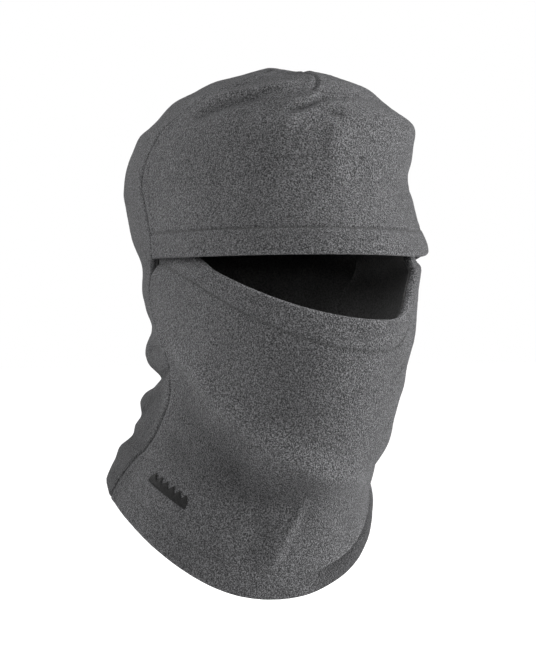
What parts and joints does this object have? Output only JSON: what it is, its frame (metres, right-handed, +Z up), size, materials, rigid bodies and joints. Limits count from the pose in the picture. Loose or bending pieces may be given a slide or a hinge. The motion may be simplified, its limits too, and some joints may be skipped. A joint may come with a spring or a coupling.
{
  "type": "balaclava",
  "caption": "Fleece balaclava in its worn shape: a lined brow panel over a face panel with an eye opening between them, and a back panel with a flared neck.",
  "frame": {"origin": "middle of the wearer's head at brow height, level with the brow panel's lower edge", "axes": "+Z up, -Y the way the face looks, -X the wearer's right"},
  "size_m": [0.1776, 0.2334, 0.326],
  "materials": {
    "grey_fleece": "matte, short pile",
    "black_lining": "matte, fine pile",
    "grey_thread": "low sheen",
    "black_thread": "low sheen"
  },
  "bodies": {
    "root": {"brow_panel": "grey_fleece", "face_panel": "grey_fleece", "back_panel": "grey_fleece", "brow_lining": "black_lining", "face_lining": "black_lining", "back_lining": "black_lining", "side_seam_stitching": "grey_thread", "brow_hem_stitching": "grey_thread", "eye_hem_stitching": "grey_thread", "bottom_hem_stitching": "grey_thread", "front_dart_stitching": "grey_thread", "back_dart_stitching": "grey_thread", "emblem": "black_thread"}
  },
  "joints": []
}
